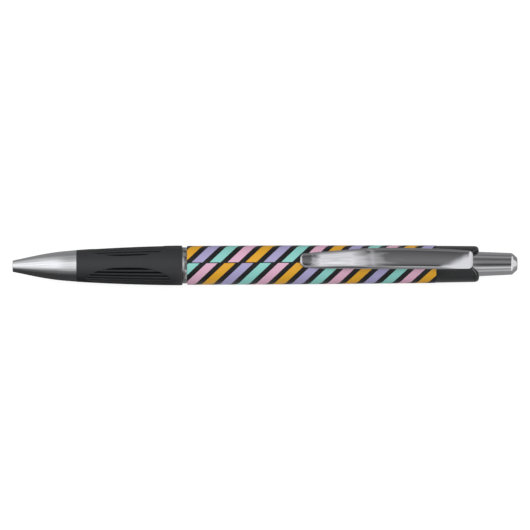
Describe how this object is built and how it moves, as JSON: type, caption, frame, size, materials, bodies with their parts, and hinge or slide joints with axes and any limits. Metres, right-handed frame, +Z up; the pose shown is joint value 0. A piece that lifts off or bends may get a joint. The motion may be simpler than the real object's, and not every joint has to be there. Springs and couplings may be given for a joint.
{
  "type": "click pen",
  "caption": "Retractable click ballpoint pen with a rubber grip, striped wrapped barrel, sprung pocket clip and a push button that drives an indexing cam.",
  "frame": {"origin": "under the middle of the pen's length, on the surface that its grip lies on", "axes": "+X along the pen from the writing tip to the push button, +Y across it, +Z up through the clip"},
  "size_m": [0.142, 0.0112, 0.0142],
  "materials": {
    "nose_metal": "satin plated",
    "black_abs": "moulded",
    "grip_rubber": "soft matt",
    "trim_metal": "brushed, plated",
    "white_abs": "moulded",
    "printed_film": "printed film, satin gloss",
    "black_abs_satin": "satin",
    "cam_acetal": "moulded",
    "plunger_acetal": "moulded",
    "button_chrome": "polished plated",
    "clip_chrome": "polished plated",
    "tip_nickel_silver": "turned",
    "ball_carbide": "ground",
    "refill_brass": "turned",
    "refill_steel": "drawn tube",
    "ink": "wet paste",
    "follower_grease": "translucent grease",
    "refill_plug_plastic": "moulded",
    "spring_steel": "drawn wire"
  },
  "bodies": {
    "holder": {"nose_cone": "nose_metal", "front_barrel": "black_abs", "grip_sleeve": "grip_rubber", "trim_ring": "trim_metal", "barrel": "white_abs", "printed_wrap": "printed_film", "end_cap": "black_abs_satin", "guide_sleeve": "cam_acetal", "return_spring": "spring_steel"},
    "button": {"push_button": "button_chrome", "plunger": "plunger_acetal"},
    "refill": {"refill_tip": "tip_nickel_silver", "writing_ball": "ball_carbide", "tip_holder": "refill_brass", "refill_tube": "refill_steel", "ink_column": "ink", "ink_follower": "follower_grease", "refill_plug": "refill_plug_plastic"},
    "cam": {"index_cam": "cam_acetal"},
    "clip": {"clip": "clip_chrome"}
  },
  "joints": [
    {"name": "button_press", "type": "slide", "parent": "holder", "child": "button", "axis": [-1, 0, 0], "range_m": [0, 0.0075], "stiffness_N_per_m": 250, "springref_m": -0.006, "deforming": ["return_spring"]},
    {"name": "refill_slide", "type": "slide", "parent": "holder", "child": "refill", "axis": [-1, 0, 0], "range_m": [0, 0.00681]},
    {"name": "cam_turn", "type": "hinge", "parent": "refill", "child": "cam", "pos_m": [0.036, 0, 0.0056], "axis": [1, 0, 0], "range_deg": [0, 20.01]},
    {"name": "clip_flex", "type": "hinge", "parent": "holder", "child": "clip", "pos_m": [0.0568, 0, 0.01025], "axis": [0, 1, 0], "range_deg": [0, 4], "stiffness_Nm_per_rad": 4}
  ],
  "couplings": [
    {"joint": "refill_slide", "follows": "button_press", "ratio": 0.90718},
    {"joint": "cam_turn", "follows": "button_press", "rad_per_m": 46.542}
  ]
}
